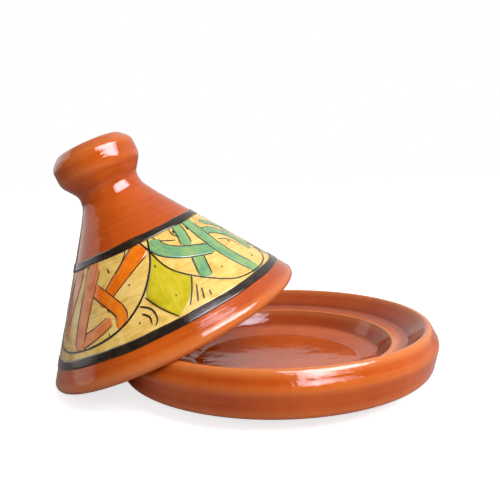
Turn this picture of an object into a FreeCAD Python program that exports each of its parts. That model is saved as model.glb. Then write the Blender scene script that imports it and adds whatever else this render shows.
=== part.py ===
"""Tagine: a round glazed serving dish with its cone-shaped lid leaning on the dish's rim.

The row frame stands on the floor, +Z up, with its origin at the centre of the dish's foot.
The lid is off its seat and leans towards -X: one point of its lip stands on the floor and
two points rest on the dish's rim, so the whole part is symmetric about the XZ plane.
Lengths are in millimetres, angles in degrees. Each outline is a list of corners, from the
axis around to the axis again, and every corner ends with the radius that rounds it off.
"""
import FreeCAD, Part
import math
import os

# --- Dish, outside ----------------------------------------------------------------------
FOOT_R = 84.0           # flat foot
UNDER_R = 118.0         # the underside swells out to here
UNDER_Z = 6.5
WALL_R = 131.2          # the upright wall starts here
WALL_Z = 12.0
DISH_R = 135.4          # the wall leans out to here, before the rim rounds it off
BULGE_Z = 32.0
CREST_R = 127.2         # the rim's two slopes meet here, before the crest is rounded
CREST_Z = 47.5
UNDER_ROUND = 40.0      # roundings, from the foot up to the crest
WALL_ROUND = 6.0
BULGE_ROUND = 7.0
CREST_ROLL = 3.6

# --- Dish, inside -----------------------------------------------------------------------
GALLERY_R = 110.5       # foot of the slanted wall that keeps the lid centred
GALLERY_Z = 32.0
GUTTER_R = 104.0        # lowest circle of the ledge that carries the lid
GUTTER_Z = 29.4
LEDGE_R = 97.5          # inner edge of the ledge
LEDGE_Z = 30.4
BOWL_WALL_R = 86.5      # foot of the bowl's wall
BOWL_WALL_Z = 17.5
BOWL_R = 71.0           # edge of the bowl's flat floor
FLOOR_Z = 12.0          # thickness of the base
LEDGE_ROUND = 2.0       # at both edges of the ledge
GUTTER_ROUND = 12.0
BOWL_WALL_ROUND = 8.0
BOWL_ROUND = 14.0

# --- Lid, along its own axis from the plane of its mouth --------------------------------
LID_R = 109.5           # outermost radius, at the lip
LIP_ROLL = 5.3          # the lip's underside is a half circle of this radius
LIP_H = 7.0             # the cone starts here
SHOULDER_R = 34.6       # the cone ends here
SHOULDER_S = 113.0
NECK_LOW_R = 27.1       # foot of the neck
NECK_LOW_S = 125.0
NECK_R = 25.6           # narrowest place, under the knob
NECK_HIGH_S = 134.5
KNOB_R = 35.4           # widest place of the knob
KNOB_LOW_S = 148.0
KNOB_HIGH_S = 163.0
TOP_R = 27.0            # crest of the knob
TOP_S = 171.0
DIMPLE_R = 18.9         # edge of the shallow hollow in the knob's top
DIMPLE_FLOOR_R = 10.8
DIMPLE = 3.5            # depth of that hollow
LID_WALL = 6.6          # thickness of the cone's wall
APEX_S = 116.5          # top of the lid's hollow
LIP_ROUND = 5.0         # roundings, from the lip up to the dimple
NECK_LOW_ROUND = 12.0
NECK_HIGH_ROUND = 10.0
KNOB_LOW_ROUND = 12.0
KNOB_HIGH_ROUND = 8.0
TOP_ROUND = 7.0
DIMPLE_ROUND = 6.0
DIMPLE_FLOOR_ROUND = 14.0
MOUTH_ROUND = 12.0      # inside the mouth, and at the top of the hollow
APEX_ROUND = 16.0

# --- Painted band: fired-on coats that lie flush in the cone ----------------------------
BAND_LOW_S = 18.0       # lower edge of the lower black line
BAND_HIGH_S = 87.0      # upper edge of the upper black line
LINE_H = 5.6            # height of each black line along the lid's axis
COAT = 0.4              # thickness of the coats

# --- How the lid leans ------------------------------------------------------------------
LEAN = 23.3             # tilt of the lid's axis towards -X
GAP = 0.3               # the lip clears the dish's rim by this much
FLOOR_GAP = 0.05        # and its lowest point stands this far above the floor
LIP_STEPS = 720         # places tried along half of the lip
PLACE_ERROR = 1e-4      # how closely the resting place is found

NO_LENGTH = 1e-6        # shorter edges are left out of an outline

UP = FreeCAD.Vector(0, 0, 1)
CENTRE = FreeCAD.Vector(0, 0, 0)


def at(radius, height):
    """A point of a half section, in the XZ plane."""
    return FreeCAD.Vector(radius, 0, height)


# --- Rounded outlines -------------------------------------------------------------------
def rounding(before, corner, after):
    """Start, middle and end of the arc that rounds a corner off, and the arc's centre."""
    place = at(corner[0], corner[1])
    back = (at(before[0], before[1]) - place).normalize()
    ahead = (at(after[0], after[1]) - place).normalize()
    half = back.getAngle(ahead) / 2
    inward = (back + ahead).normalize()
    centre = place + inward * (corner[2] / math.sin(half))
    reach = corner[2] / math.tan(half)
    return place + back * reach, centre - inward * corner[2], place + ahead * reach, centre


def outline(corners):
    """Lines and tangent arcs around a closed list of (radius, height, rounding)."""
    edges = []
    last = at(corners[0][0], corners[0][1])
    for index in range(1, len(corners)):
        corner = corners[index]
        start = middle = end = at(corner[0], corner[1])
        if corner[2]:
            start, middle, end, centre = rounding(corners[index - 1], corner, corners[index + 1])
        if last.distanceToPoint(start) > NO_LENGTH:
            edges.append(Part.LineSegment(last, start).toShape())
        if corner[2]:
            edges.append(Part.Arc(start, middle, end).toShape())
        last = end
    edges.append(Part.LineSegment(last, at(corners[0][0], corners[0][1])).toShape())
    return edges


def turned(corners):
    """The solid that a closed half section makes when it turns about Z."""
    section = Part.Face(Part.Wire(outline(corners)))
    return section.revolve(CENTRE, UP, 360).Solids[0]


# --- Dish -------------------------------------------------------------------------------
RIM_OUTSIDE = (DISH_R, BULGE_Z, BULGE_ROUND)
RIM_CREST = (CREST_R, CREST_Z, CREST_ROLL)
RIM_INSIDE = (GALLERY_R, GALLERY_Z, LEDGE_ROUND)


def make_dish():
    foot = [(0, 0, 0), (FOOT_R, 0, UNDER_ROUND)]
    outside = [(UNDER_R, UNDER_Z, UNDER_ROUND), (WALL_R, WALL_Z, WALL_ROUND)]
    rim = [RIM_OUTSIDE, RIM_CREST, RIM_INSIDE]
    ledge = [(GUTTER_R, GUTTER_Z, GUTTER_ROUND), (LEDGE_R, LEDGE_Z, LEDGE_ROUND)]
    bowl = [(BOWL_WALL_R, BOWL_WALL_Z, BOWL_WALL_ROUND), (BOWL_R, FLOOR_Z, BOWL_ROUND)]
    return turned(foot + outside + rim + ledge + bowl + [(0, FLOOR_Z, 0)])


# --- Lid, upright, with the plane of its mouth on Z = 0 ---------------------------------
CONE_SLOPE = (LID_R - SHOULDER_R) / (SHOULDER_S - LIP_H)
WALL_ACROSS = LID_WALL * math.hypot(1, CONE_SLOPE)


def cone_radius(height):
    """Outer radius of the straight cone."""
    return LID_R - CONE_SLOPE * (height - LIP_H)


def make_lid():
    mouth_r = LID_R - 2 * LIP_ROLL
    inner_low = LIP_H + (LID_R - mouth_r - WALL_ACROSS) / CONE_SLOPE
    apex_r = cone_radius(APEX_S) - WALL_ACROSS
    dimple_s = TOP_S - DIMPLE
    hollow = [(0, APEX_S, 0), (apex_r, APEX_S, APEX_ROUND), (mouth_r, inner_low, MOUTH_ROUND)]
    lip = [(mouth_r, 0, LIP_ROLL), (LID_R, 0, LIP_ROLL), (LID_R, LIP_H, LIP_ROUND)]
    shoulder = [(SHOULDER_R, SHOULDER_S, 0), (NECK_LOW_R, NECK_LOW_S, NECK_LOW_ROUND)]
    neck = [(NECK_R, NECK_HIGH_S, NECK_HIGH_ROUND), (KNOB_R, KNOB_LOW_S, KNOB_LOW_ROUND)]
    knob = [(KNOB_R, KNOB_HIGH_S, KNOB_HIGH_ROUND), (TOP_R, TOP_S, TOP_ROUND)]
    dimple = [(DIMPLE_R, TOP_S, DIMPLE_ROUND), (DIMPLE_FLOOR_R, dimple_s, DIMPLE_FLOOR_ROUND)]
    return turned(hollow + lip + shoulder + neck + knob + dimple + [(0, dimple_s, 0)])


def make_coat(low, high):
    """A thin coat flush with the cone between two heights."""
    deep = COAT * math.hypot(1, CONE_SLOPE)
    outer = [(cone_radius(high), high, 0), (cone_radius(low), low, 0)]
    inner = [(cone_radius(low) - deep, low, 0), (cone_radius(high) - deep, high, 0)]
    return turned(outer + inner)


def make_lid_nodes():
    """The fired clay lid and its three painted coats."""
    low_line = BAND_LOW_S + LINE_H
    high_line = BAND_HIGH_S - LINE_H
    coats = {
        "band_line_low": make_coat(BAND_LOW_S, low_line),
        "band_ground": make_coat(low_line, high_line),
        "band_line_high": make_coat(high_line, BAND_HIGH_S),
    }
    nodes = {"lid": make_lid().cut(make_coat(BAND_LOW_S, BAND_HIGH_S)).Solids[0]}
    nodes.update(coats)
    return nodes


# --- The lean ---------------------------------------------------------------------------
def lip_circle(placement):
    """Points along half of the circle that runs through the middle of the lip's section."""
    radius = LID_R - LIP_ROLL
    turns = [math.pi * step / LIP_STEPS for step in range(LIP_STEPS + 1)]
    points = [FreeCAD.Vector(radius * math.cos(t), radius * math.sin(t), LIP_ROLL) for t in turns]
    return [placement.multVec(point) for point in points]


def clearance(placement):
    """Gap between the lip and the dish's rounded crest."""
    crest = rounding(RIM_OUTSIDE, RIM_CREST, RIM_INSIDE)[3]
    apart = []
    for point in lip_circle(placement):
        from_axis = math.hypot(point.x, point.y)
        apart.append(math.hypot(from_axis - crest.x, point.z - crest.z))
    return min(apart) - LIP_ROLL - CREST_ROLL


def leaning(offset):
    """The lean with the middle of the mouth at X = -offset and the lip on the floor."""
    lean = math.radians(LEAN)
    lowest = LIP_ROLL * math.cos(lean) - (LID_R - LIP_ROLL) * math.sin(lean) - LIP_ROLL
    tilt = FreeCAD.Rotation(FreeCAD.Vector(0, 1, 0), -LEAN)
    return FreeCAD.Placement(FreeCAD.Vector(-offset, 0, FLOOR_GAP - lowest), tilt)


def resting_place():
    """The lean whose lip just clears the dish's rim, found by halving."""
    far = LID_R
    near = LID_R / 2
    while far - near > PLACE_ERROR:
        middle = (near + far) / 2
        if clearance(leaning(middle)) > GAP:
            far = middle
        else:
            near = middle
    return leaning(far)


def main():
    os.makedirs("parts", exist_ok=True)
    make_dish().exportStep("parts/dish.step")
    rest = resting_place()
    for name, shape in make_lid_nodes().items():
        shape.Placement = rest
        shape.exportStep("parts/" + name + ".step")
    print("mouth centre", rest.Base, "clearance", clearance(rest))


main()
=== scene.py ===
"""Looks of the tagine: a glazed clay dish and its painted cone-shaped lid, leaning on the rim.

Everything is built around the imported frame, in metres. The two clay pieces are turned from the
same outlines as the solids, with the small unevenness of hand throwing. The painting on the lid
is real brushwork: thin closed strokes laid on the cone, each a few hundredths of a millimetre
thick. A place on the cone is (turn, height): degrees about the lid's axis, counted from the side
that faces +X, and millimetres along the axis from the plane of the mouth.
"""
import bpy
import math
from mathutils import Matrix, Vector, noise


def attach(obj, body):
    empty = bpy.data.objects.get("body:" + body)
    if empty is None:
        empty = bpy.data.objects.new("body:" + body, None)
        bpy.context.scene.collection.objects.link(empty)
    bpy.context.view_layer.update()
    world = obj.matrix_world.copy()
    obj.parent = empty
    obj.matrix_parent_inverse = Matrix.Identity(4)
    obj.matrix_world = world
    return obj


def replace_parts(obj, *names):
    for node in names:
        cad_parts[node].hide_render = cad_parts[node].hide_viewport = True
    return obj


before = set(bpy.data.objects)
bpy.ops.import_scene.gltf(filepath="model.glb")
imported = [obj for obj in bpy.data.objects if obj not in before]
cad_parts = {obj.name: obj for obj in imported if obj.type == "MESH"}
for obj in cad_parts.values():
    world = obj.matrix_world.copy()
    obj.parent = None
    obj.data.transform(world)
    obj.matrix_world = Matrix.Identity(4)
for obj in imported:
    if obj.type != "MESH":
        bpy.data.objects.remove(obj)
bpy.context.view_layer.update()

MM = 0.001

# --- Dish, mm ---------------------------------------------------------------------------
FOOT_R = 84.0
UNDER_R, UNDER_Z, UNDER_ROUND = 118.0, 6.5, 40.0
WALL_R, WALL_Z, WALL_ROUND = 131.2, 12.0, 6.0
DISH_R, BULGE_Z, BULGE_ROUND = 135.4, 32.0, 7.0
CREST_R, CREST_Z, CREST_ROLL = 127.2, 47.5, 3.6
GALLERY_R, GALLERY_Z = 110.5, 32.0
GUTTER_R, GUTTER_Z, GUTTER_ROUND = 104.0, 29.4, 12.0
LEDGE_R, LEDGE_Z, LEDGE_ROUND = 97.5, 30.4, 2.0
BOWL_WALL_R, BOWL_WALL_Z, BOWL_WALL_ROUND = 86.5, 17.5, 8.0
BOWL_R, FLOOR_Z, BOWL_ROUND = 71.0, 12.0, 14.0

# --- Lid, mm ----------------------------------------------------------------------------
LID_R, LIP_ROLL, LIP_H, LIP_ROUND = 109.5, 5.3, 7.0, 5.0
SHOULDER_R, SHOULDER_S = 34.6, 113.0
NECK_LOW_R, NECK_LOW_S, NECK_LOW_ROUND = 27.1, 125.0, 12.0
NECK_R, NECK_HIGH_S, NECK_HIGH_ROUND = 25.6, 134.5, 10.0
KNOB_R = 35.4
KNOB_LOW_S, KNOB_LOW_ROUND = 148.0, 12.0
KNOB_HIGH_S, KNOB_HIGH_ROUND = 163.0, 8.0
TOP_R, TOP_S, TOP_ROUND = 27.0, 171.0, 7.0
DIMPLE_R, DIMPLE_ROUND = 18.9, 6.0
DIMPLE_FLOOR_R, DIMPLE_FLOOR_ROUND, DIMPLE = 10.8, 14.0, 3.5
LID_WALL, APEX_S, APEX_ROUND, MOUTH_ROUND = 6.6, 116.5, 16.0, 12.0
CONE_SLOPE = (LID_R - SHOULDER_R) / (SHOULDER_S - LIP_H)
SLANT = math.hypot(1, CONE_SLOPE)

# --- The lean: tilt in degrees, and the middle of the mouth in mm -----------------------
LEAN = 23.3
MOUTH = Vector((-84.530, 0, 41.698))
LID_TO_ROW = Matrix.Translation(MOUTH) @ Matrix.Rotation(-math.radians(LEAN), 4, "Y")

# --- Hand throwing, mm ------------------------------------------------------------------
WOBBLE = 0.16           # slow unevenness of the wall
WOBBLE_WAVES = 1.7      # how closely it varies around the piece,
WOBBLE_REACH = 45.0     # and how far one patch of it reaches up the wall
RIDGE = 0.035           # height of the fine throwing ridges
RIDGE_PITCH = 4.6       # distance from ridge to ridge
DRIFT = 1.5             # how far a ridge wanders up and down
DRIFT_WAVES = 0.8       # as for the wobble
DRIFT_REACH = 30.0
DISH_SEED = 2.1         # each piece takes its unevenness from its own part of the noise
LID_SEED = 7.3

# --- Clay meshes ------------------------------------------------------------------------
SEGMENTS = 300          # around each piece
STEP = 1.45             # longest step along an outline, mm
ARC_STEP = 0.16         # and around a rounding, radians
NO_LENGTH = 1e-6        # shorter stretches are left out

# --- What the glaze follows, mm ---------------------------------------------------------
FULL_EDGE = 4.0         # a rounding this tight counts as a full edge or hollow
EDGE_SPREAD = 4.0       # how far an edge's effect spreads along the outline
GRAIN_R = 90.0          # radius on which the grain around a piece is laid out

# --- Painted band, mm along the lid's axis ----------------------------------------------
BAND_LOW_S, BAND_HIGH_S, LINE_H = 18.6, 87.0, 5.4
UNDER_LINE = 1.2        # the ground runs this far under each black line
GROUND_SHAKE = 0.3      # how far the ground's edges wander,
LINE_SHAKE = 0.8        # and those of the black lines

# --- Brushwork, mm ----------------------------------------------------------------------
PAINT = 0.055           # thickness of a stroke
THIN_SIDE = 0.35        # share of that thickness at its sides
STROKE_STEP = 1.3       # length of a stroke's mesh cells
ACROSS = 8              # cells across a stroke
CURVE_PARTS = 24        # parts between two places of a path, before it is evenly spaced
BLUNT = 0.12            # how blunt a stroke's very ends are
SHAKE = 0.10            # most that a stroke's width strays, as a share of it,
SHAKE_LENGTH = 9.0      # and the length over which it strays
STROKE_SEED = 3.1       # strokes lie this far apart in that noise,
STROKE_SHIFT = 0.37     # and this far apart in the brush's grain
LINE_OFF = 0.15         # how far outside a ribbon's side its ink line runs
LINE_SKIP = 3           # it follows every third place of the ribbon,
LINE_INSET = 0.04       # and stops short of its ends by this share of its length,
LINE_UNEVEN = 0.03      # or by up to twice this much more
TICK_END = 0.7          # share of its width that a tick keeps at its upper end
TICK_TAPER = 1.6        # length of its round ends, in half widths
PATCH_ROWS = 44         # mesh cells along a filled shape,
PATCH_ACROSS = 20       # and across it
PATCH_INSET = 0.004     # share of its width left free at each side
PATCH_STEP = 0.5        # how closely its sides are followed
PATCH_GRAIN = 1.2       # length of a row in the brush's grain
RING_STEPS = 480        # mesh cells around a ring
RING_CELL = 2.0         # height of those cells,
RING_CELLS = 6          # of which there are at least this many
RING_WAVES = 3          # how closely a ring's edges wander
RING_GRAIN_R = 70.0     # radius on which a ring's grain is laid out

# --- Layers of paint, from the cone up. Ribbons lie on 2 to 4 ----------------------------
LAYER = 0.07            # from one layer to the next, mm
GROUND_LAYER = 0
LIME_LAYER = 1
FINE_LAYER = 2.5        # loose lines inside a medallion
INK_OVER = 0.5          # from a ribbon to the ink lines along it
OVAL_LAYER = 5
LEAF_LAYER = 6
TICK_LAYER = 7
RING_LAYER = 8


# === Outlines ===========================================================================
def rounded(corners):
    """Points along an outline of (radius, height, rounding), each with how sharp it is there.

    Sharpness is 1 / rounding on an outward edge, and negative in a hollow.
    """
    last = Vector(corners[0][:2])
    points = [(last.copy(), 0.0)]
    for index in range(1, len(corners)):
        corner = corners[index]
        place = Vector(corner[:2])
        if not corner[2]:
            points += straight(last, place)
            last = place
            continue
        back = (Vector(corners[index - 1][:2]) - place).normalized()
        ahead = (Vector(corners[index + 1][:2]) - place).normalized()
        half = back.angle(ahead) / 2
        centre = place + (back + ahead).normalized() * (corner[2] / math.sin(half))
        start = place + back * (corner[2] / math.tan(half))
        points += straight(last, start)
        swing = math.pi - 2 * half
        if back.cross(ahead) > 0:
            swing = -swing
        count = max(3, int(abs(swing) * corner[2] / STEP), int(abs(swing) / ARC_STEP))
        spoke = start - centre
        for step in range(1, count + 1):
            turned = spoke.copy()
            turned.rotate(Matrix.Rotation(swing * step / count, 2))
            points.append((centre + turned, math.copysign(1 / corner[2], swing)))
        last = centre + turned
    return points


def straight(start, end):
    """Evenly spaced points from start to end, start left out."""
    length = (end - start).length
    if length < NO_LENGTH:
        return []
    count = max(1, round(length / STEP))
    return [(start.lerp(end, step / count), 0.0) for step in range(1, count + 1)]


def dish_outline():
    """From the middle of the foot, up outside, over the rim and down to the bowl's middle."""
    foot = [(0, 0, 0), (FOOT_R, 0, UNDER_ROUND)]
    outside = [(UNDER_R, UNDER_Z, UNDER_ROUND), (WALL_R, WALL_Z, WALL_ROUND)]
    rim = [(DISH_R, BULGE_Z, BULGE_ROUND), (CREST_R, CREST_Z, CREST_ROLL)]
    ledge = [(GALLERY_R, GALLERY_Z, LEDGE_ROUND), (GUTTER_R, GUTTER_Z, GUTTER_ROUND)]
    ledge.append((LEDGE_R, LEDGE_Z, LEDGE_ROUND))
    bowl = [(BOWL_WALL_R, BOWL_WALL_Z, BOWL_WALL_ROUND), (BOWL_R, FLOOR_Z, BOWL_ROUND)]
    return rounded(foot + outside + rim + ledge + bowl + [(0, FLOOR_Z, 0)])


def cone_radius(height):
    """Outer radius of the lid's straight cone."""
    return LID_R - CONE_SLOPE * (height - LIP_H)


def lid_outline():
    """From the top of the hollow, down inside, round the lip and up to the knob's dimple."""
    across = LID_WALL * SLANT
    mouth_r = LID_R - 2 * LIP_ROLL
    inner_low = LIP_H + (LID_R - mouth_r - across) / CONE_SLOPE
    apex_r = cone_radius(APEX_S) - across
    dimple_s = TOP_S - DIMPLE
    hollow = [(0, APEX_S, 0), (apex_r, APEX_S, APEX_ROUND), (mouth_r, inner_low, MOUTH_ROUND)]
    lip = [(mouth_r, 0, LIP_ROLL), (LID_R, 0, LIP_ROLL), (LID_R, LIP_H, LIP_ROUND)]
    shoulder = [(SHOULDER_R, SHOULDER_S, 0), (NECK_LOW_R, NECK_LOW_S, NECK_LOW_ROUND)]
    neck = [(NECK_R, NECK_HIGH_S, NECK_HIGH_ROUND), (KNOB_R, KNOB_LOW_S, KNOB_LOW_ROUND)]
    knob = [(KNOB_R, KNOB_HIGH_S, KNOB_HIGH_ROUND), (TOP_R, TOP_S, TOP_ROUND)]
    dimple = [(DIMPLE_R, TOP_S, DIMPLE_ROUND), (DIMPLE_FLOOR_R, dimple_s, DIMPLE_FLOOR_ROUND)]
    return rounded(hollow + lip + shoulder + neck + knob + dimple + [(0, dimple_s, 0)])


# === Clay ===============================================================================
def unevenness(turn, height, seed):
    """How far the wall lies inside its true radius, in mm, from 0 to WOBBLE + RIDGE."""
    around = Vector((math.cos(turn), math.sin(turn), 0))
    slow = noise.noise(around * WOBBLE_WAVES + Vector((seed, 0, height / WOBBLE_REACH)))
    drift = noise.noise(around * DRIFT_WAVES + Vector((0, seed, height / DRIFT_REACH)))
    ridge = math.sin(2 * math.pi * (height + DRIFT * drift) / RIDGE_PITCH)
    return WOBBLE * (0.5 + 0.5 * slow) + RIDGE * (0.5 + 0.5 * ridge)


def new_mesh(name, points, faces, fields):
    """A smooth mesh object from points in mm, with its per-point fields."""
    mesh = bpy.data.meshes.new(name)
    mesh.from_pydata([point * MM for point in points], [], faces)
    for field, values in fields.items():
        layer = mesh.attributes.new(field, "FLOAT_VECTOR", "POINT")
        layer.data.foreach_set("vector", [number for value in values for number in value])
    mesh.shade_smooth()
    mesh.update()
    piece = bpy.data.objects.new(name, mesh)
    bpy.context.scene.collection.objects.link(piece)
    return piece


def lengths_along(outline):
    """Distance in mm from the outline's start to each of its points."""
    along = [0.0]
    for (before, _), (after, _) in zip(outline, outline[1:]):
        along.append(along[-1] + (after - before).length)
    return along


def softened(outline, along):
    """The outline's sharpness, blurred along it over a few millimetres."""
    soft = []
    for here in along:
        weights = [math.exp(-((there - here) / EDGE_SPREAD) ** 2) for there in along]
        total = sum(weight * sharp for weight, (_, sharp) in zip(weights, outline))
        soft.append(total / sum(weights))
    return soft


def facing_axis(outline):
    """How far each place of the outline is a wall that faces the axis, from 0 to 1."""
    facing = []
    for index in range(len(outline)):
        before = outline[max(index - 1, 0)][0]
        after = outline[min(index + 1, len(outline) - 1)][0]
        facing.append(max(0.0, -(after - before).normalized().y))
    return facing


def turned_piece(name, outline, placement, seed):
    """A clay piece turned from its outline, with fields for the glaze.

    'around' is a place for grain that runs around the piece. 'glaze' is (edge, hollow, inner wall);
    the inner wall sets where painted shade darkens walls that face the axis.
    """
    points, around, glaze, faces = [], [], [], []
    rings = []
    along = lengths_along(outline)
    fields = zip(outline, softened(outline, along), along, facing_axis(outline))
    for (corner, _), sharp, length, inner in fields:
        radius, height = corner
        count = 1 if radius < NO_LENGTH else SEGMENTS
        rings.append(range(len(points), len(points) + count))
        for step in range(count):
            turn = 2 * math.pi * step / count
            true = radius - min(unevenness(turn, height, seed), radius)
            points.append(placement @ Vector((true * math.cos(turn), true * math.sin(turn), height)))
            grain = (math.cos(turn) * GRAIN_R * MM, math.sin(turn) * GRAIN_R * MM, length * MM)
            around.append(grain)
            glaze.append((max(sharp, 0) * FULL_EDGE, max(-sharp, 0) * FULL_EDGE, inner))
    for low, high in zip(rings, rings[1:]):
        for step in range(SEGMENTS):
            after = (step + 1) % SEGMENTS
            if len(low) == 1:
                faces.append((high[after], high[step], low[0]))
            elif len(high) == 1:
                faces.append((low[after], high[0], low[step]))
            else:
                faces.append((low[after], high[after], high[step], low[step]))
    return new_mesh(name, points, faces, {"around": around, "glaze": glaze})


# === Paths on the cone ==================================================================
def on_cone(turn, height, lift):
    """The point that stands lift mm off the cone's painted surface."""
    angle = math.radians(turn)
    radius = cone_radius(height) - unevenness(angle, height, LID_SEED) + lift / SLANT
    rise = height + lift * CONE_SLOPE / SLANT
    return LID_TO_ROW @ Vector((radius * math.cos(angle), radius * math.sin(angle), rise))


def apart(one, other):
    """Distance in mm between two places on the cone."""
    middle = cone_radius((one[1] + other[1]) / 2)
    return math.hypot(math.radians(other[0] - one[0]) * middle, (other[1] - one[1]) * SLANT)


def through(points, step=STROKE_STEP):
    """Evenly spaced places along a smooth curve through the given places, and its length."""
    ends = [points[0]] + list(points) + [points[-1]]
    dense = []
    for a, b, c, d in zip(ends, ends[1:], ends[2:], ends[3:]):
        for part in range(CURVE_PARTS):
            t = part / CURVE_PARTS
            place = []
            for p, q, r, s in zip(a, b, c, d):
                bend = (2 * p - 5 * q + 4 * r - s) * t * t + (3 * q - p - 3 * r + s) * t ** 3
                place.append(q + 0.5 * ((r - p) * t + bend))
            dense.append(place)
    dense.append(list(points[-1]))
    lengths = [0.0]
    for before, after in zip(dense, dense[1:]):
        lengths.append(lengths[-1] + apart(before, after))
    count = max(3, round(lengths[-1] / step))
    places, index = [], 0
    for number in range(count + 1):
        want = lengths[-1] * number / count
        while index < len(lengths) - 2 and lengths[index + 1] < want:
            index += 1
        share = (want - lengths[index]) / max(lengths[index + 1] - lengths[index], NO_LENGTH)
        places.append([p + (q - p) * share for p, q in zip(dense[index], dense[index + 1])])
    return places, lengths[-1]


def heading(places, index):
    """Unit direction of a path on the cone: (around, up the slope)."""
    before = places[max(index - 1, 0)]
    after = places[min(index + 1, len(places) - 1)]
    around = math.radians(after[0] - before[0]) * cone_radius(places[index][1])
    return Vector((around, (after[1] - before[1]) * SLANT)).normalized()


def beside(place, way, out):
    """The place out mm to the left of a path that runs that way."""
    turn_out = math.degrees(-way.y * out / cone_radius(place[1]))
    return place[0] + turn_out, place[1] + way.x * out / SLANT


def edge_of(points, widths, side, inset):
    """The path that hugs one side of a ribbon, short of both its ends by a share of its length."""
    places, _ = through(points)
    last = len(places) - 1
    hugging = []
    for index in range(round(inset * last), round((1.0 - inset) * last) + 1, LINE_SKIP):
        width = widths[0] + (widths[1] - widths[0]) * index / last
        out = side * (0.5 * width + LINE_OFF)
        hugging.append(beside(places[index], heading(places, index), out))
    return hugging


def moved(points, middle):
    """A motif's places, turned to its middle."""
    return [(turn + middle, height) for turn, height in points]


# === Brushes ============================================================================
class Brush:
    """Collects the closed strokes of one colour."""

    def __init__(self):
        self.points, self.faces, self.brush = [], [], []
        self.count = 0

    def sheet(self, rows, layer, ring=False):
        """One closed stroke from rows of places (turn, height, along, across).

        Each row runs from the stroke's right side to its left one.
        """
        self.count += 1
        first = len(self.points)
        width = len(rows[0])
        for thickness in (PAINT, 0.0):
            for row in rows:
                for turn, height, along, across in reversed(row):
                    crown = THIN_SIDE + (1 - THIN_SIDE) * (1 - abs(across) ** 4)
                    self.points.append(on_cone(turn, height, layer * LAYER + thickness * crown))
                    self.brush.append((along * MM, across, self.count * STROKE_SHIFT))
        under = len(rows) * width
        cells = width - 1
        for span in range(len(rows) if ring else len(rows) - 1):
            here = first + span * width
            there = first + (span + 1) % len(rows) * width
            for cell in range(cells):
                self.faces.append((here + cell, here + cell + 1, there + cell + 1, there + cell))
                near, far = here + cell + under, there + cell + under
                self.faces.append((near, far, far + 1, near + 1))
            self.faces.append((here, there, there + under, here + under))
            near, far = here + cells, there + cells
            self.faces.append((near, near + under, far + under, far))
        if not ring:
            self.close_ends(first, first + (len(rows) - 1) * width, cells, under)

    def close_ends(self, first, last, cells, under):
        """The faces at a stroke's two ends, which start with the points first and last."""
        for cell in range(cells):
            start = first + cell
            self.faces.append((start, start + under, start + under + 1, start + 1))
            end = last + cell
            self.faces.append((end, end + 1, end + 1 + under, end + under))

    def ribbon(self, points, widths, layer, taper=1.0):
        """A stroke with round ends along a smooth curve, with its widths at its start and its end.

        The round ends are taper half widths long.
        """
        places, length = through(points)
        rows = []
        for index, (turn, height) in enumerate(places):
            way = heading(places, index)
            along = length * index / (len(places) - 1)
            width = widths[0] + (widths[1] - widths[0]) * along / length
            near_end = min(along, length - along) / (0.5 * width * taper)
            full = math.sqrt(max(BLUNT, 1 - max(0.0, 1 - near_end) ** 2))
            spot = Vector((along / SHAKE_LENGTH, self.count * STROKE_SEED, layer))
            half = 0.5 * width * full * (1 + SHAKE * noise.noise(spot))
            row = []
            for cell in range(ACROSS + 1):
                side = 2 * cell / ACROSS - 1
                row.append((*beside((turn, height), way, side * half), along, side))
            rows.append(row)
        self.sheet(rows, layer)

    def dab(self, place, length, width, slope):
        """A short tick that leans by slope degrees from upright."""
        turn, height = place
        aside = math.degrees(0.5 * length * math.sin(math.radians(slope)) / cone_radius(height))
        up = 0.5 * length * math.cos(math.radians(slope)) / SLANT
        ends = [(turn - aside, height - up), (turn, height), (turn + aside, height + up)]
        self.ribbon(ends, (width, TICK_END * width), TICK_LAYER, TICK_TAPER)

    def patch(self, left, right, layer):
        """A filled shape between two curves that run from its top to its foot."""
        edges = []
        for side in (left, right):
            places, _ = through(side, PATCH_STEP)
            last = len(places) - 1
            edges.append([places[round(row * last / PATCH_ROWS)] for row in range(PATCH_ROWS + 1)])
        rows = []
        for number, (a, b) in enumerate(zip(*edges)):
            row = []
            for cell in range(PATCH_ACROSS + 1):
                share = cell / PATCH_ACROSS
                inside = PATCH_INSET + (1 - 2 * PATCH_INSET) * share
                turn, height = [p + (q - p) * inside for p, q in zip(a, b)]
                row.append((turn, height, number * PATCH_GRAIN, 2 * share - 1))
            rows.append(row)
        self.sheet(rows, layer)

    def ring(self, low, high, layer, shake):
        """A band right around the cone, with edges that wander by shake mm."""
        rows = []
        cells = max(RING_CELLS, round((high - low) / RING_CELL))
        for step in range(RING_STEPS):
            turn = 360 * step / RING_STEPS
            angle = math.radians(turn)
            spot = Vector((math.cos(angle), math.sin(angle), 0)) * RING_WAVES
            foot = low + shake * noise.noise(spot + Vector((0, 0, low)))
            head = high + shake * noise.noise(spot + Vector((0, 0, high)))
            row = []
            for cell in range(cells + 1):
                share = cell / cells
                row.append((turn, foot + (head - foot) * share, angle * RING_GRAIN_R, 2 * share - 1))
            rows.append(row)
        self.sheet(rows, layer, ring=True)

    def piece(self, name, material, slot):
        """The finished piece, which rides on the lid."""
        made = new_mesh(name, self.points, self.faces, {"brush": self.brush})
        made.data.materials.append(material)
        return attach(made, "lid")


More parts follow.
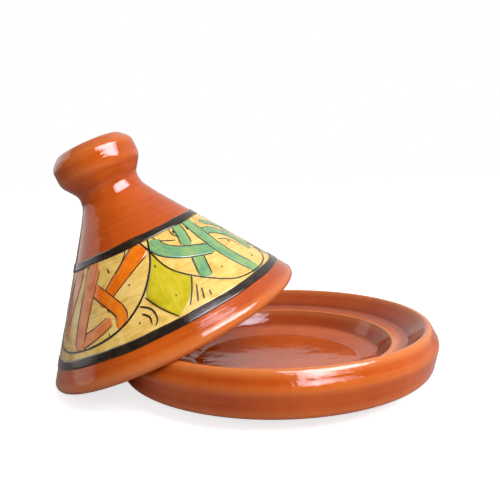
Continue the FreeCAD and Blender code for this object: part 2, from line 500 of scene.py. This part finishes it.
# === The painting =======================================================================
# Each motif is drawn about its own middle, in places (turn from the middle, height). A ribbon is
# (colour, width at its start, width at its end, layer, path). A tick is (turn, height, length,
# lean in degrees). The ovals' line has one width at its start and one at its end.
WARM = {
    "ribbons": [
        ("salmon", 14.0, 12.0, 2, [(-15, 83), (-21, 66), (-26, 52), (-28, 38)]),
        ("orange", 15.0, 8.0, 2, [(45, 79), (35, 73.5), (20, 63), (8, 52)]),
        ("salmon", 8.0, 10.0, 2, [(14, 42), (6, 37.5), (-7, 33)]),
        ("orange", 9.5, 9.0, 3, [(1, 66), (9, 58.5), (16, 50), (20, 42), (18, 34)]),
        ("salmon", 14.0, 12.0, 4, [(4, 83), (-3, 63), (-7, 46), (-9, 29)]),
    ],
    "lines": [
        [(33, 83), (29, 77), (21, 69)],
        [(5, 57), (11, 51), (13, 46)],
        [(-21, 83), (-29, 67), (-38, 52)],
    ],
    "ovals": [
        [(51, 82.5), (45, 67), (39, 56), (33, 47), (25, 38.5), (17, 33), (8, 30), (-2, 28.5)],
        [(-2, 28.5), (-20, 29.5), (-34, 35), (-43, 48), (-49, 65), (-51, 82.5)],
    ],
    "oval_widths": (1.4, 2.0),
    "ticks": [(16, 73, 5, -20), (12, 33, 2, 0), (-22, 38, 4, 30), (28, 58, 2, 0)],
}
COOL = {
    "ribbons": [
        ("teal", 8.0, 9.0, 2, [(-7, 83), (-9, 76), (-14, 64)]),
        ("teal", 10.0, 9.5, 2, [(-13, 57), (-16, 49), (-19, 38.5)]),
        ("teal", 11.0, 11.0, 3, [(-33, 80), (-30, 71), (-19, 62), (0, 54)]),
        ("teal", 7.5, 9.0, 3, [(3, 68), (13, 67), (22, 61), (27, 51), (24, 38)]),
        ("teal", 10.5, 11.0, 4, [(5, 83.5), (3, 64), (3.5, 46), (8, 23.5)]),
        ("teal", 5.0, 6.0, 2, [(17, 76), (30, 68), (38, 55)]),
    ],
    "lines": [
        [(-31, 83), (-27, 77), (-17, 72)],
        [(-15, 82), (-16, 77), (-13, 73)],
        [(10, 58), (18, 53), (20, 44)],
    ],
    "ovals": [
        [(-41, 82.5), (-38, 75), (-33, 57), (-23, 43), (-9, 29), (2, 25.5)],
        [(2, 25.5), (14, 25.5), (26, 29), (37, 38), (44, 52), (43, 67), (41, 82.5)],
    ],
    "oval_widths": (1.3, 1.1),
    "ticks": [
        (-14, 78, 4, 20), (-2, 76, 4, 15), (-8, 40, 2, 0),
        (15, 52, 3, 0), (16, 34, 3, 25), (31, 41, 3, 0),
    ],
}
LEAF = {
    "left": [(1, 76), (-4, 65), (-9, 55), (-13, 46), (-8, 34), (-3, 25.5)],
    "right": [(1.5, 76), (2, 66), (5, 57), (10, 49), (12, 43.5), (6, 33), (-2.5, 25.5)],
    "lines": [[(-14, 46), (-9, 35), (-3, 24.5)], [(12, 45), (8, 37), (3, 28)]],
    "curls": [[(-18, 42), (-13, 37), (-12, 30), (-14, 26)], [(-18, 37), (-15, 33), (-15, 28)]],
    "ticks": [
        (9, 33, 15, 28), (11, 31, 10, 22), (14, 29, 5, 15),
        (-20, 32, 2, 0), (0, 38, 2, 0), (-2, 62, 3, 0),
    ],
}

# Where each motif's middle is around the cone.
MEDALLIONS = [(-120, WARM), (-35, COOL), (60, WARM), (145, COOL)]
LEAVES = [-72, 12, 105, -168]

# Widths of the ink strokes at their start and end, in mm, and their tapers, in half widths.
SIDE_LINE, LOOSE_LINE, LINE_TAPER = (0.80, 1.05), (0.8, 1.1), 8
OVAL_TAPER = 3
LEAF_LINE, CURL, LEAF_TAPER = (1.1, 0.9), (1.6, 1.0), 5
TICK, LEAF_TICK = 1.4, 1.2


def paint_medallion(brushes, middle, motif):
    """Woven ribbons with ink lines along both sides, then loose lines, an oval and ticks."""
    ink = brushes["black"]
    for number, (colour, start, end, layer, path) in enumerate(motif["ribbons"]):
        path = moved(path, middle)
        brushes[colour].ribbon(path, (start, end), layer)
        for side in (-1, 1):
            inset = LINE_INSET + LINE_UNEVEN * ((number + side) % 3)
            line = edge_of(path, (start, end), side, inset)
            ink.ribbon(line, SIDE_LINE, layer + INK_OVER, LINE_TAPER)
    for path in motif["lines"]:
        ink.ribbon(moved(path, middle), LOOSE_LINE, FINE_LAYER, LINE_TAPER)
    for path in motif["ovals"]:
        ink.ribbon(moved(path, middle), motif["oval_widths"], OVAL_LAYER, OVAL_TAPER)
    for turn, height, length, slope in motif["ticks"]:
        ink.dab((turn + middle, height), length, TICK, slope)


def paint_leaf(brushes, middle):
    """A lime shape with ink lines at its foot, and curls and ticks beside it."""
    ink = brushes["black"]
    brushes["lime"].patch(moved(LEAF["left"], middle), moved(LEAF["right"], middle), LIME_LAYER)
    for path in LEAF["lines"]:
        ink.ribbon(moved(path, middle), LEAF_LINE, LEAF_LAYER, LEAF_TAPER)
    for path in LEAF["curls"]:
        ink.ribbon(moved(path, middle), CURL, TICK_LAYER, LEAF_TAPER)
    for turn, height, length, slope in LEAF["ticks"]:
        ink.dab((turn + middle, height), length, LEAF_TICK, slope)


def paint_lid(colours):
    """The whole painted band: one piece for each colour, and one for each black line."""
    brushes = {name: Brush() for name in colours}
    low, high = BAND_LOW_S + LINE_H, BAND_HIGH_S - LINE_H
    brushes["ground"].ring(low - UNDER_LINE, high + UNDER_LINE, GROUND_LAYER, GROUND_SHAKE)
    for middle, motif in MEDALLIONS:
        paint_medallion(brushes, middle, motif)
    for middle in LEAVES:
        paint_leaf(brushes, middle)
    pieces = {}
    for name, material in colours.items():
        slot = "black_slip" if name == "black" else "yellow_slip"
        pieces[name] = brushes[name].piece("paint_" + name, material, slot)
    for name, foot, head in (("line_low", BAND_LOW_S, low), ("line_high", high, BAND_HIGH_S)):
        line = Brush()
        line.ring(foot, head, RING_LAYER, LINE_SHAKE)
        pieces[name] = line.piece("paint_" + name, colours["black"], "black_slip")
    return pieces


# === Materials ==========================================================================
class Nodes:
    """Adds shader nodes to a tree, one line for each."""

    def __init__(self, tree):
        self.tree = tree

    def node(self, kind, sockets=None, **settings):
        made = self.tree.nodes.new("ShaderNode" + kind)
        for name, value in settings.items():
            setattr(made, name, value)
        for name, value in (sockets or {}).items():
            self.feed(made.inputs[name], value)
        return made

    def feed(self, socket, value):
        """A socket takes another node's output or a plain value."""
        if isinstance(value, bpy.types.NodeSocket):
            self.tree.links.new(value, socket)
        else:
            socket.default_value = value

    def field(self, name):
        return self.node("Attribute", attribute_name=name).outputs["Vector"]

    def part(self, vector, axis):
        return self.node("SeparateXYZ", {"Vector": vector}).outputs[axis]

    def stretched(self, vector, scale):
        made = self.node("VectorMath", {0: vector, 1: scale}, operation="MULTIPLY")
        return made.outputs["Vector"]

    def grain(self, vector, scale, detail=4.0, rough=0.55, warp=0.0):
        sockets = {"Vector": vector, "Scale": scale, "Detail": detail, "Roughness": rough}
        sockets["Distortion"] = warp
        return self.node("TexNoise", sockets).outputs["Fac"]

    def span(self, value, low, high, to_low=0.0, to_high=1.0):
        """value from low..high to to_low..to_high, held at the ends."""
        sockets = {"Value": value, "From Min": low, "From Max": high}
        sockets.update({"To Min": to_low, "To Max": to_high})
        return self.node("MapRange", sockets).outputs["Result"]

    def times(self, one, other):
        return self.node("Math", {0: one, 1: other}, operation="MULTIPLY").outputs["Value"]

    def total(self, *terms):
        """The sum of terms (value, weight)."""
        added = self.times(*terms[0])
        for term in terms[1:]:
            sockets = {0: added, 1: self.times(*term)}
            added = self.node("Math", sockets, operation="ADD").outputs["Value"]
        return added

    def blend(self, share, one, other):
        """A colour from one to the other as share goes from 0 to 1."""
        made = self.node("Mix", data_type="RGBA")
        self.feed(made.inputs[0], share)
        self.feed(made.inputs[6], one)
        self.feed(made.inputs[7], other)
        return made.outputs[2]

    def tinted(self, colour, share, most, tint):
        """The colour, with at most that much of the tint where share is 1."""
        return self.blend(self.times(share, most), colour, tint)


class Shader(Nodes):
    """A material and its surface."""

    def __init__(self, name):
        self.material = bpy.data.materials.new(name)
        self.material.use_nodes = True
        super().__init__(self.material.node_tree)
        self.surface = self.tree.nodes["Principled BSDF"]

    def glazed(self, colour, height, depth, roughness):
        """Colour, a bump of that depth in metres, and the clear glaze over it."""
        self.feed(self.surface.inputs["Base Color"], colour)
        bump = self.node("Bump", {"Height": height, "Distance": depth, "Strength": 1.0})
        self.feed(self.surface.inputs["Normal"], bump.outputs["Normal"])
        self.feed(self.surface.inputs["Coat Normal"], bump.outputs["Normal"])
        self.feed(self.surface.inputs["Roughness"], roughness)
        self.surface.inputs["Coat Weight"].default_value = 1.0
        self.surface.inputs["Coat Roughness"].default_value = COAT_ROUGHNESS
        self.surface.inputs["Coat IOR"].default_value = COAT_IOR
        self.surface.inputs["Specular IOR Level"].default_value = 0.0
        return self.material


def rgb(red, green, blue):
    """A colour given as the eye reads it, 0 to 255, as the shader's linear numbers."""
    linear = []
    for level in (red, green, blue):
        share = level / 255
        linear.append(share / 12.92 if share <= 0.04045 else ((share + 0.055) / 1.055) ** 2.4)
    return (*linear, 1.0)


COAT_ROUGHNESS = 0.02
COAT_IOR = 1.5

GLAZE_DEEP = rgb(174, 67, 11)
GLAZE_PLAIN = rgb(206, 95, 20)
GLAZE_EDGE = rgb(228, 140, 72)
GLAZE_POOL = rgb(136, 46, 8)
INNER_WALL_SHADE = rgb(128, 46, 12)
# painted shade: the dark colour given to walls that face the axis
GLAZE_PIT = rgb(92, 34, 14)
GLAZE_SPECK = rgb(232, 160, 110)
GLAZE_BUMP = 0.00022        # metres

PAINT_PIT = rgb(96, 62, 30)
PAINT_BUMP = 0.00016        # metres
HAIR_SHIFT = 60             # keeps each stroke's streaks unlike the others'

# Each paint: its material's name, its deep, plain and pale colour, how fine its streaks are,
# per metre along the stroke and per half width across it, and how dark it pools at its sides.
PAINTS = {
    "ground": (
        "slip_yellow", rgb(218, 172, 78), rgb(242, 206, 112), rgb(248, 224, 148), (55, 30), 0.0),
    "lime": (
        "slip_lime", rgb(182, 168, 20), rgb(208, 192, 38), rgb(222, 206, 66), (30, 4), 0.5),
    "orange": (
        "slip_orange", rgb(214, 88, 6), rgb(242, 124, 10), rgb(244, 152, 44), (40, 5), 0.7),
    "salmon": (
        "slip_salmon", rgb(204, 104, 42), rgb(228, 136, 72), rgb(234, 162, 96), (40, 5), 0.7),
    "teal": (
        "slip_teal", rgb(70, 148, 126), rgb(132, 176, 112), rgb(176, 196, 122), (40, 5), 0.8),
    "black": (
        "slip_black", rgb(26, 18, 11), rgb(42, 32, 22), rgb(78, 62, 38), (60, 6), 0.6),
}


def terracotta():
    """Red clay under a clear honey glaze: thin and pale on edges, deep where it pools, with painted
    shade on walls that face the axis.
    """
    s = Shader("terracotta_glaze")
    around = s.field("around")
    glaze = s.field("glaze")
    place = s.node("TexCoord").outputs["Object"]
    cloud = s.grain(place, 14, 3)
    rings = s.grain(s.stretched(around, (9, 9, 420)), 1, 5, 0.6, 0.4)
    runs = s.grain(s.stretched(place, (90, 90, 14)), 1, 4, 0.6, 0.8)
    tone = s.total((cloud, 0.45), (rings, 0.35), (runs, 0.20))
    colour = s.blend(s.span(tone, 0.36, 0.64), GLAZE_DEEP, GLAZE_PLAIN)
    colour = s.tinted(colour, s.span(s.part(glaze, "X"), 0.10, 0.75), 0.60, GLAZE_EDGE)
    colour = s.tinted(colour, s.span(s.part(glaze, "Y"), 0.05, 0.60), 0.55, GLAZE_POOL)
    # painted shade: walls that face the axis are darkened
    colour = s.tinted(colour, s.span(s.part(glaze, "Z"), 0.35, 0.80), 0.60, INNER_WALL_SHADE)
    pits = s.span(s.grain(place, 900, 2), 0.70, 0.76)
    colour = s.tinted(colour, pits, 0.55, GLAZE_PIT)
    specks = s.span(s.grain(place, 520, 1), 0.72, 0.80)
    colour = s.tinted(colour, specks, 0.35, GLAZE_SPECK)
    fine, broad = s.grain(place, 60, 3), s.grain(place, 26, 2)
    skin = s.total((fine, 1.4), (rings, 0.40), (broad, 4.0), (pits, -0.25))
    return s.glazed(colour, skin, GLAZE_BUMP, s.span(cloud, 0.3, 0.7, 0.28, 0.42))


def brushed(name, deep, plain, pale, streaks, pooling):
    """Paint laid with a bristle brush: streaks along the stroke, darker where it pools."""
    s = Shader(name)
    brush = s.field("brush")
    place = s.node("TexCoord").outputs["Object"]
    hairs = s.grain(s.stretched(brush, (*streaks, HAIR_SHIFT)), 1, 4, 0.6, 0.3)
    blots = s.grain(place, 85, 4, 0.55, 0.6)
    wash = s.grain(place, 30, 2)
    tone = s.total((hairs, 0.5), (blots, 0.5))
    colour = s.blend(s.span(tone, 0.36, 0.52), deep, plain)
    colour = s.blend(s.span(tone, 0.52, 0.70), colour, pale)
    side = s.node("Math", {0: s.part(brush, "Y")}, operation="ABSOLUTE").outputs["Value"]
    pool = s.times(s.span(side, 0.72, 1.0), s.span(blots, 0.4, 0.6, 0.2, pooling))
    colour = s.blend(pool, colour, deep)
    pits = s.span(s.grain(place, 1000, 2), 0.71, 0.77)
    colour = s.tinted(colour, pits, 0.5, PAINT_PIT)
    skin = s.total((hairs, 0.5), (s.grain(place, 80, 3), 1.0))
    return s.glazed(colour, skin, PAINT_BUMP, s.span(wash, 0.3, 0.7, 0.28, 0.42))


def paints():
    """One material for each paint."""
    return {name: brushed(*paint) for name, paint in PAINTS.items()}


# === Stage: floor, light, camera ========================================================
# Sizes and distances are in metres, and angles in degrees. An azimuth is counted from -Y
# towards +X, and an elevation from the floor.
FLOOR_REACH = 6.0
FLOOR_DROP = 0.0002                     # the floor lies just under the foot
FLOOR_SEEN = (0.75, 0.75, 0.75, 1)      # its colour to the camera,
FLOOR_FELT = (0.42, 0.38, 0.38, 1)      # and to the pot
FLOOR_LIFT = 0.75                       # glow that only the camera sees

ROOM_FRONT = 0.10                       # the room that the pot mirrors: its dim side,
ROOM_BACK = 0.75                        # its bright side,
BRIGHT_WAY = (0.35, 0.85, 0.45)         # the way to that side,
ROOM_FADE = (-0.1, 0.9)                 # and where along that way the one fades into the other

# Each light: name, azimuth, elevation, distance, size, watts, colour, and what it does. A fill
# only lights the pot, and a pane is only mirrored in its glaze.
LIGHT_AIM = Vector((0, 0, 0.08))
LIGHTS = [
    ("window", 42, 44, 1.10, (0.75, 0.65), 12.0, (1.0, 0.94, 0.97), "both"),
    ("front_fill", -12, 26, 1.60, (1.2, 0.6), 5.5, (1.0, 0.98, 0.96), "fill"),
    ("right_fill", 80, 18, 1.40, (0.8, 0.6), 1.8, (1.0, 0.97, 0.94), "fill"),
    ("window_pane", 41, 49, 1.05, (1.05, 0.72), 27.0, (0.90, 0.85, 1.0), "pane"),
    ("left_wall", -112, 12, 1.50, (1.4, 1.4), 5.5, (1.0, 0.98, 0.97), "pane"),
]

CAMERA_DISTANCE = 0.540                 # from the middle of the dish's foot
CAMERA_AZIMUTH = -2.45
CAMERA_ELEVATION = 19.3
LOOK_DOWN = 8.0                         # below level
LOOK_RIGHT = -2.33                      # to the right of the dish's axis
ROLL = -1.74
LENS, SENSOR = 43.589, 36.0             # mm
CLIP_START = 0.01


def direction(azimuth, elevation):
    """Unit vector that way from the pot."""
    a, e = math.radians(azimuth), math.radians(elevation)
    return Vector((math.sin(a) * math.cos(e), -math.cos(a) * math.cos(e), math.sin(e)))


def make_floor():
    """A pale floor, far larger than the pot, that stays close to white around it."""
    mesh = bpy.data.meshes.new("floor")
    signs = [(-1, -1), (1, -1), (1, 1), (-1, 1)]
    corners = [(x * FLOOR_REACH, y * FLOOR_REACH, 0) for x, y in signs]
    mesh.from_pydata(corners, [], [(0, 1, 2, 3)])
    floor = bpy.data.objects.new("floor", mesh)
    floor.location.z = -FLOOR_DROP
    bpy.context.scene.collection.objects.link(floor)
    s = Shader("floor")
    seen = s.node("LightPath").outputs["Is Camera Ray"]
    s.feed(s.surface.inputs["Base Color"], s.blend(seen, FLOOR_FELT, FLOOR_SEEN))
    s.feed(s.surface.inputs["Emission Strength"], s.times(seen, FLOOR_LIFT))
    s.surface.inputs["Emission Color"].default_value = (1, 1, 1, 1)
    s.surface.inputs["Roughness"].default_value = 0.9
    s.surface.inputs["Specular IOR Level"].default_value = 0.1
    mesh.materials.append(s.material)


def make_surroundings():
    """A white backdrop, and a dimmer room for the pot to mirror, brighter behind and above it."""
    world = bpy.data.worlds.new("room")
    world.use_nodes = True
    bpy.context.scene.world = world
    s = Nodes(world.node_tree)
    way = s.node("TexCoord").outputs["Generated"]
    towards = s.node("VectorMath", {0: way, 1: BRIGHT_WAY}, operation="DOT_PRODUCT").outputs["Value"]
    room = s.span(towards, *ROOM_FADE, ROOM_FRONT, ROOM_BACK)
    seen = s.node("LightPath").outputs["Is Camera Ray"]
    background = s.tree.nodes["Background"]
    s.feed(background.inputs["Strength"], s.span(seen, 0, 1, room, 1.0))
    background.inputs["Color"].default_value = (1, 1, 1, 1)


def make_lights():
    """Soft rectangular lights around the pot."""
    for name, azimuth, elevation, distance, size, watts, colour, use in LIGHTS:
        data = bpy.data.lights.new(name, "AREA")
        data.shape = "RECTANGLE"
        data.size, data.size_y = size
        data.energy = watts
        data.color = colour
        away = direction(azimuth, elevation)
        lamp = bpy.data.objects.new(name, data)
        lamp.location = LIGHT_AIM + away * distance
        lamp.rotation_euler = away.to_track_quat("Z", "Y").to_euler()
        lamp.visible_glossy = use != "fill"
        lamp.visible_diffuse = use != "pane"
        bpy.context.scene.collection.objects.link(lamp)


def make_camera():
    """The camera, close in front of the pot and a little above it."""
    data = bpy.data.cameras.new("camera")
    data.sensor_width = SENSOR
    data.lens = LENS
    data.clip_start = CLIP_START
    camera = bpy.data.objects.new("camera", data)
    bpy.context.scene.collection.objects.link(camera)
    bpy.context.scene.camera = camera
    place = Matrix.Translation(direction(CAMERA_AZIMUTH, CAMERA_ELEVATION) * CAMERA_DISTANCE)
    turn = Matrix.Rotation(math.radians(CAMERA_AZIMUTH - LOOK_RIGHT), 4, "Z")
    pitch = Matrix.Rotation(math.radians(90 - LOOK_DOWN), 4, "X")
    roll = Matrix.Rotation(math.radians(ROLL), 4, "Z")
    camera.matrix_world = place @ turn @ pitch @ roll


# === The object =========================================================================
def make_clay(material):
    """The dish and the bare lid, each in the place of its solid."""
    dish = turned_piece("dish_clay", dish_outline(), Matrix.Identity(4), DISH_SEED)
    lid = turned_piece("lid_clay", lid_outline(), LID_TO_ROW, LID_SEED)
    for piece, node in ((dish, "dish"), (lid, "lid")):
        piece.data.materials.append(material)
        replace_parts(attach(piece, node), node)


def main():
    """Builds the object and its stage."""
    make_clay(terracotta())
    painted = paint_lid(paints())
    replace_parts(painted["ground"], "band_ground")
    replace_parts(painted["line_low"], "band_line_low")
    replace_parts(painted["line_high"], "band_line_high")
    make_floor()
    make_surroundings()
    make_lights()
    make_camera()
    bpy.context.scene.view_settings.view_transform = "Standard"


main()
